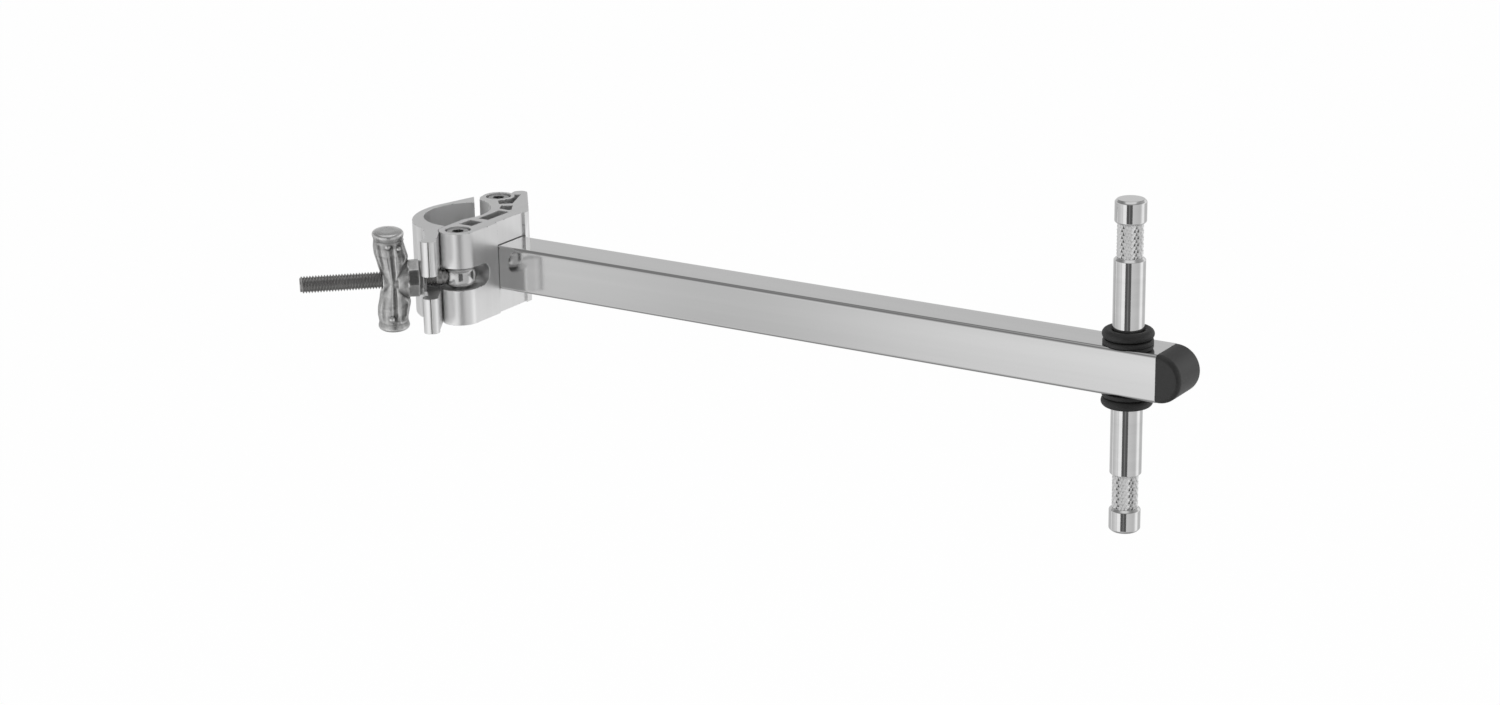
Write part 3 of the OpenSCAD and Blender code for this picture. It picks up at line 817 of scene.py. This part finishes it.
class SIDEARM_OT_jaws(bpy.types.Operator):
    """Dresses both jaws: soft edges, sawn ends, the lip's line and the gap round the tube, both
    painted dark as shade
    """

    bl_idname = "sidearm.jaws"
    bl_label = "Clamp jaws"

    def execute(self, context):
        sizes = context.scene.side_arm_sizes
        lip_at = BOLT @ Matrix.Translation((sizes.lip_reach, 0, sizes.lip_rise))
        line_turn = Matrix.Rotation(sizes.lip_line_angle, 4, "Y")
        line_at = lip_at @ line_turn @ Matrix.Translation((0, 0, sizes.lip_radius))
        line_length = 80 * MM
        line_size = Vector((sizes.lip_line, line_length, 2 * sizes.lip_line_depth))
        low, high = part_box("arm_tube")
        gap = sizes.tube_gap
        gap_at = Matrix.Translation((low + high) / 2 - Vector((gap, 0, 0)))
        gap_size = high - low + Vector((0, 2 * gap, 2 * gap))
        # Faces in the lip's line and in the gap round the tube take the dark thread steel: painted
        # shade in these grooves
        drawn, sawn, dark = range(3)
        slack = 0.01 * MM
        for node, body, at, size in (
                ("fixed_jaw", "arm", gap_at, gap_size), ("moving_jaw", "jaw", line_at, line_size)):
            slot = bmesh.new()
            bmesh.ops.create_cube(slot, size=1, matrix=at @ Matrix.Diagonal((*size, 1)))
            bm = cut(soften(node_copy(node), sizes.jaw_edge), slot)
            to_slot = at.inverted()
            for face in bm.faces:
                face.material_index = sawn if abs(face.normal.z) > 0.99 else drawn
                place = to_slot @ face.calc_center_median()
                if all(abs(place[i]) < size[i] / 2 + slack for i in range(3)):
                    face.material_index = dark
            piece(f"{node}_dressed", bm, body,
                  ["aluminium", "sawn", "thread"], [node])
        return {"FINISHED"}


class SIDEARM_OT_screws(bpy.types.Operator):
    """Dresses the screws, nuts, washers and inner blocks"""

    bl_idname = "sidearm.screws"
    bl_label = "Screws and blocks"

    def execute(self, context):
        edge = context.scene.side_arm_sizes.screw_edge
        for node in ("hinge_pin", "pivot_pin", "pin_nuts", "clamp_screw", "clamp_washer",
                     "tube_plug", "spigot_set_screw"):
            dressed(node, "arm", ["zinc"], edge)
        dressed("spigot_block", "arm", ["aluminium"], edge)
        dressed("seat_washer", "washer", ["zinc"], edge)
        return {"FINISHED"}


class SIDEARM_OT_bolt(bpy.types.Operator):
    """Makes the eyebolt: a forged eye, a plain neck and a threaded shank"""

    bl_idname = "sidearm.bolt"
    bl_label = "Eyebolt"

    def execute(self, context):
        sizes = context.scene.side_arm_sizes
        low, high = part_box("eyebolt")
        eye_h = (high.z - low.z) / 2
        eye_r, hole_r, rim = 8.8 * MM, 4.06 * MM, 0.5 * MM
        flat_r = hole_r + 1.3 * MM
        steps, fullness = 15, 0.8
        upper = [(hole_r, 0), (hole_r, eye_h - rim), (hole_r + rim, eye_h)]
        for i in range(steps):
            turn = math.radians(90 * i / steps)
            out, rise = math.sin(turn) ** fullness, math.cos(turn) ** fullness
            upper.append((flat_r + (eye_r - flat_r) * out, eye_h * rise))
        outline = upper + [(eye_r, 0)] + [(r, -z) for r, z in reversed(upper)]
        eye = lathe(bmesh.new(), outline, sizes.round_steps)
        eye.transform(Matrix.Translation(PIVOT))
        piece("bolt_eye", eye, "bolt", ["eye"], ["eyebolt"])
        start = sizes.thread_start
        neck_r = sizes.thread_diameter / 2 - 0.45 * MM
        neck_low, neck_high, step = 4.6 * MM, 9.4 * MM, 0.4 * MM
        neck_path = [
            (0, neck_low), (neck_r, neck_low), (neck_r, neck_high),
            (neck_r + step, neck_high + 0.7 * MM), (neck_r + step, start),
            (neck_r - 0.6 * MM, start + 0.3 * MM), (0, start + 0.3 * MM),
        ]
        radii = [0, 0, 0.5 * MM, 0.5 * MM, 0.2 * MM, 0, 0]
        neck = lathe(bmesh.new(), rounded(neck_path, radii), 64)
        neck.transform(BOLT)
        piece("bolt_neck", neck, "bolt", ["thread"])
        runout = 1.2 * MM
        shank = thread(bmesh.new(), sizes, sizes.bolt_length - start, runout)
        shank.transform(BOLT @ Matrix.Translation((0, 0, start)))
        piece("bolt_thread", shank, "bolt", ["thread"], ["eyebolt"], sharp=28)
        return {"FINISHED"}


class SIDEARM_OT_wing_nut(bpy.types.Operator):
    """Makes the cast wing nut: a faceted collar, a hub and two waisted wings, blended"""

    bl_idname = "sidearm.wing_nut"
    bl_label = "Wing nut"

    def execute(self, context):
        sizes, finish = context.scene.side_arm_sizes, context.scene.side_arm_finish
        start, length, collar_r = sizes.nut_start, sizes.nut_length, sizes.collar_radius
        flange_r, hub_r, nose_r, bore_r = 9.5 * MM, 8.2 * MM, 6.9 * MM, 4.85 * MM

        def cone(bm, low, high, radius1, radius2, segments=48, turn=0.0):
            at = Matrix.Translation((0, 0, start + (low + high) / 2))
            bmesh.ops.create_cone(
                bm, cap_ends=True, segments=segments, radius1=radius1, radius2=radius2,
                depth=high - low, matrix=at @ Matrix.Rotation(turn, 4, "Z"))

        # Flange, eight-sided collar, the collar's shoulder and the hub that carries the wings
        bm = bmesh.new()
        cone(bm, 0, 4 * MM, flange_r, flange_r)
        cone(bm, 2.3 * MM, 8.4 * MM, collar_r, 0.98 * collar_r, 8, sizes.wing_turn)
        cone(bm, 8.2 * MM, 14 * MM, 0.935 * collar_r, 0.76 * collar_r)
        cone(bm, 11 * MM, length - 0.2 * MM, hub_r, nose_r)
        turn, rise = math.sin(sizes.wing_turn), math.cos(sizes.wing_turn)
        axes = Matrix(((0, rise, -turn), (0, turn, rise), (1, 0, 0))).to_4x4()
        bar_z = start + length - 6.1 * MM
        bar = wing_bar(sizes)
        for x, side, z, radius in WING_LUMPS:
            y = side * (6.6 - 0.08 * x ** 2)
            bmesh.ops.create_icosphere(bar, subdivisions=3, radius=radius * MM,
                                       matrix=Matrix.Translation(Vector((x, y, z)) * MM))
        bar.transform(Matrix.Translation((0, 0, bar_z)) @ axes)
        join(bm, bar)

        def blend_parts(blank):
            remesh = blank.modifiers.new("blend", "REMESH")
            remesh.mode = "VOXEL"
            remesh.voxel_size = sizes.cast_voxel
            smooth = blank.modifiers.new("smooth", "SMOOTH")
            smooth.factor = 0.5
            smooth.iterations = 6

        bm = with_modifiers(bm, blend_parts)
        bore = bmesh.new()
        cone(bore, -length / 2, 1.5 * length, bore_r, bore_r, 64)
        bm = cut(bm, bore)
        wing = axes.to_3x3() @ UP

        # Dull plating all over, lighter wing ends, and painted shade that darkens the collar's
        # front facet
        def tone_and_painted_shade(vert):
            on_collar = between((vert.co.z - start) / MM, 12.5, 10.5)
            front = on_collar * between(vert.normal.x, 0.88, 0.95)
            end = (1 - on_collar) * between(abs(vert.normal.dot(wing)), 0.8, 0.97)
            return finish.cast_dull + finish.cast_front_shade * front - finish.cast_polish * end

        mark_hollows(bm, 24, tone_and_painted_shade)
        bm.transform(BOLT)
        piece("wing_nut_cast", bm, "nut", ["cast"], ["wing_nut"], sharp=60)
        return {"FINISHED"}


class SIDEARM_OT_arm(bpy.types.Operator):
    """Dresses the square tube"""

    bl_idname = "sidearm.arm"
    bl_label = "Square tube"

    def execute(self, context):
        dressed("arm_tube", "arm", ["tube"], context.scene.side_arm_sizes.tube_edge, 40)
        return {"FINISHED"}


class SIDEARM_OT_stud(bpy.types.Operator):
    """Makes the double-ended stud: turned body and knurled waists"""

    bl_idname = "sidearm.stud"
    bl_label = "Stud"

    def execute(self, context):
        sizes = context.scene.side_arm_sizes
        low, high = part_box("spigot")
        top = (high.z - low.z) / 2
        r = (high.x - low.x) / 2
        waist_r, core_r = sizes.waist_radius, sizes.waist_radius - 0.6 * MM
        head_z = top - sizes.head_length
        waist_z = head_z - sizes.waist_length
        groove_z, tube_z, rubber_z = 3.3 * MM, 12.5 * MM, 20.2 * MM
        seat_r, inner_r = r - 0.5 * MM, r - 1 * MM
        slope, tuck = 1.2 * MM, 0.2 * MM
        # Radius and height, and the corner's rounding in millimetres, from the middle up
        side = [
            (inner_r, 0, 0), (inner_r, groove_z, 0), (r, groove_z, 0), (r, tube_z, 0),
            (seat_r, tube_z, 0), (seat_r, rubber_z, 0), (r, rubber_z, 0),
            (r, waist_z - (r - waist_r), 0.4), (waist_r, waist_z, 0.2),
            (core_r, waist_z + tuck, 0), (core_r, head_z - tuck, 0), (waist_r, head_z, 0.2),
            (r - slope, head_z, 0.4), (r, head_z + slope, 0.8), (r, top - slope, 1.0),
            (r - slope, top, 0.8), (0, top, 0),
        ]
        half = rounded([point[:2] for point in side], [point[2] * MM for point in side])
        below = [(radius, -height) for radius, height in reversed(half[1:])]
        above = [(radius, height) for radius, height in half[1:]]
        body = lathe(bmesh.new(), below + above, sizes.round_steps)
        body.transform(STUD)
        piece("stud_body", body, "arm", ["stud"], ["spigot"])
        for name, flip in (("upper", 0), ("lower", math.pi)):
            knurl = knurled_sleeve(
                bmesh.new(), waist_r, waist_z - tuck / 2, head_z + tuck / 2,
                sizes.knurl_pitch, sizes.knurl_depth)
            knurl.transform(STUD @ Matrix.Rotation(flip, 4, "X"))
            piece(f"{name}_knurl", knurl, "arm", ["knurl"], ["spigot"], sharp=20)
        return {"FINISHED"}


class SIDEARM_OT_rubber(bpy.types.Operator):
    """Dresses the rubber rings and flanges on both faces of the tube"""

    bl_idname = "sidearm.rubber"
    bl_label = "Rubber rings"

    def execute(self, context):
        edge = context.scene.side_arm_sizes.rubber_edge
        for node in ("upper_ring", "lower_ring", "upper_flange", "lower_flange"):
            dressed(node, "arm", ["rubber"], edge)
        return {"FINISHED"}


class SIDEARM_OT_cap(bpy.types.Operator):
    """Dresses the end cap"""

    bl_idname = "sidearm.cap"
    bl_label = "End cap"

    def execute(self, context):
        dressed("end_cap", "arm", ["cap"], context.scene.side_arm_sizes.rubber_edge)
        return {"FINISHED"}


def card(name, centre, normal, width, height, strength):
    """A flat grey card that shows only in reflections."""
    material = bpy.data.materials.new(name)
    tree = cleared_tree(material)
    glow = add(tree, "ShaderNodeEmission", {"Color": (1, 1, 1, 1), "Strength": strength})
    add(tree, "ShaderNodeOutputMaterial", {"Surface": glow.outputs["Emission"]})
    bm = bmesh.new()
    bmesh.ops.create_grid(bm, x_segments=1, y_segments=1, size=0.5)
    bmesh.ops.scale(bm, vec=(width, height, 1), verts=bm.verts)
    bm.transform(frame_at(centre, normal))
    mesh = mesh_from(name, bm)
    mesh.materials.append(material)
    made = placed(name, mesh)
    made.visible_camera = False
    made.visible_diffuse = False
    made.visible_shadow = False
    made.visible_transmission = False
    made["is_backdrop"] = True


def panel_light(name, centre, aim, width, height, power):
    """A soft rectangular lamp that faces a point."""
    lamp = bpy.data.lights.new(name, "AREA")
    lamp.shape = "RECTANGLE"
    lamp.size, lamp.size_y = width, height
    lamp.energy = power
    made = placed(name, lamp)
    made.matrix_world = frame_at(centre, centre - aim)
    made.visible_glossy = False


def grey_ramp(tree, value, low, high, stops):
    """A brightness looked up by a value; stops are pairs of value and brightness."""
    made = tree.nodes.new("ShaderNodeValToRGB")
    tree.links.new(ramp(tree, value, low, high), made.inputs["Fac"])
    marks = made.color_ramp.elements
    while len(marks) < len(stops):
        marks.new(0.5)
    for mark, (at, bright) in zip(marks, stops):
        mark.position = (at - low) / (high - low)
        mark.color = (bright, bright, bright, 1)
    return made.outputs["Color"]


def make_world():
    """White to the camera; to metal a pale room with soft boxes and a dark ceiling."""
    world = bpy.data.worlds.new("studio")
    bpy.context.scene.world = world
    tree = cleared_tree(world)
    place = add(tree, "ShaderNodeTexCoord").outputs["Generated"]
    axes = add(tree, "ShaderNodeSeparateXYZ", {"Vector": place}).outputs
    around = maths(tree, "MULTIPLY", maths(tree, "ARCTAN2", axes["Y"], axes["X"]), 180 / math.pi)
    floor_shade = ramp(tree, axes["Z"], -0.85, -0.6, 0.5, 1.0)
    low_room = maths(tree, "MULTIPLY", grey_ramp(tree, around, -180, 180, ROOM_AROUND),
                     floor_shade)
    glow = maths(tree, "DIVIDE", grey_ramp(tree, around, -180, 180, ROOM_GLOW), PLAIN_GLOW)
    high_room = maths(tree, "MULTIPLY", grey_ramp(tree, axes["Z"], -1, 1, ROOM_ABOVE), glow)
    height = ramp(tree, axes["Z"], -0.05, 0.2)
    room = mix(tree, "FLOAT", height, low_room, high_room)
    rays = add(tree, "ShaderNodeLightPath").outputs
    seen = maths(tree, "MAXIMUM", rays["Is Camera Ray"], rays["Is Transmission Ray"])
    background = add(tree, "ShaderNodeBackground", {
        "Color": (1, 1, 1, 1), "Strength": mix(tree, "FLOAT", seen, room, 1.0)})
    add(tree, "ShaderNodeOutputWorld", {"Surface": background.outputs["Background"]})


def make_floor(floor_z):
    """A plain white floor that keeps a soft shadow."""
    material = bpy.data.materials.new("white_floor")
    tree = cleared_tree(material)
    rays = add(tree, "ShaderNodeLightPath").outputs
    matt = add(tree, "ShaderNodeBsdfDiffuse", {"Color": (0.9, 0.9, 0.9, 1)})
    glow = add(tree, "ShaderNodeEmission", {"Color": (1, 1, 1, 1), "Strength": 1.0})
    glow_share = 0.985
    seen = maths(tree, "MULTIPLY", rays["Is Camera Ray"], glow_share)
    both = add(tree, "ShaderNodeMixShader", {
        0: seen, 1: matt.outputs["BSDF"], 2: glow.outputs["Emission"]})
    add(tree, "ShaderNodeOutputMaterial", {"Surface": both.outputs["Shader"]})
    bm = bmesh.new()
    bmesh.ops.create_grid(bm, x_segments=1, y_segments=1, size=12)
    bm.transform(Matrix.Translation((0, 0, floor_z)))
    mesh = mesh_from("floor", bm)
    mesh.materials.append(material)
    made = placed("floor", mesh)
    made.visible_glossy = False
    made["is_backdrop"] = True


def make_camera(stage):
    """The camera at the photograph's place and angle."""
    level = Matrix.Rotation(stage.azimuth, 4, "Z") @ Matrix.Rotation(
        math.pi / 2 - stage.elevation, 4, "X")
    lens = bpy.data.cameras.new("photo_camera")
    lens.sensor_fit = "HORIZONTAL"
    lens.sensor_width = 36
    lens.lens = stage.lens
    lens.clip_start = 0.05
    made = placed("photo_camera", lens)
    made.matrix_world = Matrix.Translation(stage.camera_at) @ level @ Matrix.Rotation(
        stage.roll, 4, "Z")
    bpy.context.scene.camera = made


class SIDEARM_OT_stage(bpy.types.Operator):
    """Makes the floor, the room, the lights, the reflection cards and the camera"""

    bl_idname = "sidearm.stage"
    bl_label = "Stage"

    def execute(self, context):
        stage = context.scene.side_arm_stage
        make_world()
        make_floor(stage.floor_z)
        make_camera(stage)
        towards = Vector((math.sin(stage.azimuth), -math.cos(stage.azimuth), 0))
        right = Vector((math.cos(stage.azimuth), math.sin(stage.azimuth), 0))
        low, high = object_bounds()
        aim = (low + high) / 2
        lift = Vector((0, 0, 0.1))
        reach, forward, panel_width, panel_height = 1.15, 0.02, 0.45, 1.3
        for name, side, share in (("left_panel", -1, 1.0), ("right_panel", 1, 0.8)):
            centre = aim + side * reach * right + forward * towards + lift
            panel_light(name, centre, aim + lift, panel_width, panel_height,
                        share * stage.panel_power)
        front_width, front_height, front_share = 0.7, 0.5, 0.7
        above = aim + 0.9 * towards - 0.5 * right + Vector((0, 0, 1.3))
        panel_light("front_panel", above, aim, front_width, front_height,
                    front_share * stage.panel_power)
        facing = Matrix.Rotation(stage.card_turn, 3, "Z") @ Vector((0, -1, 0))
        shadow = middle("spigot") + stage.card_reach * facing - Vector((0, 0, stage.card_drop))
        strip_width, strip_gap = 0.08, 0.01
        card_glow, strip_glow = 0.1, 0.2
        card("dark_card", shadow, -facing, stage.card_width, stage.card_height, card_glow)
        card("card_strip", shadow - strip_gap * facing, -facing, strip_width,
             stage.card_height, strip_glow)
        context.scene.view_settings.view_transform = "Standard"
        return {"FINISHED"}


class SIDEARM_PT_panel(bpy.types.Panel):
    """Lists the steps in the order that they run"""

    bl_label = "Side Arm"
    bl_idname = "SIDEARM_PT_panel"
    bl_space_type = "VIEW_3D"
    bl_region_type = "UI"
    bl_category = "Side Arm"

    def draw(self, context):
        for step in STEPS:
            self.layout.operator(step.bl_idname)
        for group in ("side_arm_sizes", "side_arm_finish", "side_arm_stage"):
            values = getattr(context.scene, group)
            box = self.layout.box()
            for key in values.__annotations__:
                box.prop(values, key)


GROUPS = {
    "side_arm_sizes": SideArmSizes,
    "side_arm_finish": SideArmFinish,
    "side_arm_stage": SideArmStage,
}
STEPS = (
    SIDEARM_OT_finishes, SIDEARM_OT_jaws, SIDEARM_OT_screws, SIDEARM_OT_bolt,
    SIDEARM_OT_wing_nut, SIDEARM_OT_arm, SIDEARM_OT_stud, SIDEARM_OT_rubber,
    SIDEARM_OT_cap, SIDEARM_OT_stage,
)


def register():
    for name, group in GROUPS.items():
        bpy.utils.register_class(group)
        setattr(bpy.types.Scene, name, PointerProperty(type=group))
    for step in STEPS:
        bpy.utils.register_class(step)
    bpy.utils.register_class(SIDEARM_PT_panel)


def unregister():
    bpy.utils.unregister_class(SIDEARM_PT_panel)
    for step in reversed(STEPS):
        bpy.utils.unregister_class(step)
    for name, group in GROUPS.items():
        delattr(bpy.types.Scene, name)
        bpy.utils.unregister_class(group)


def main():
    register()
    for step in STEPS:
        family, name = step.bl_idname.split(".")
        getattr(getattr(bpy.ops, family), name)()


if __name__ == "__main__":
    main()
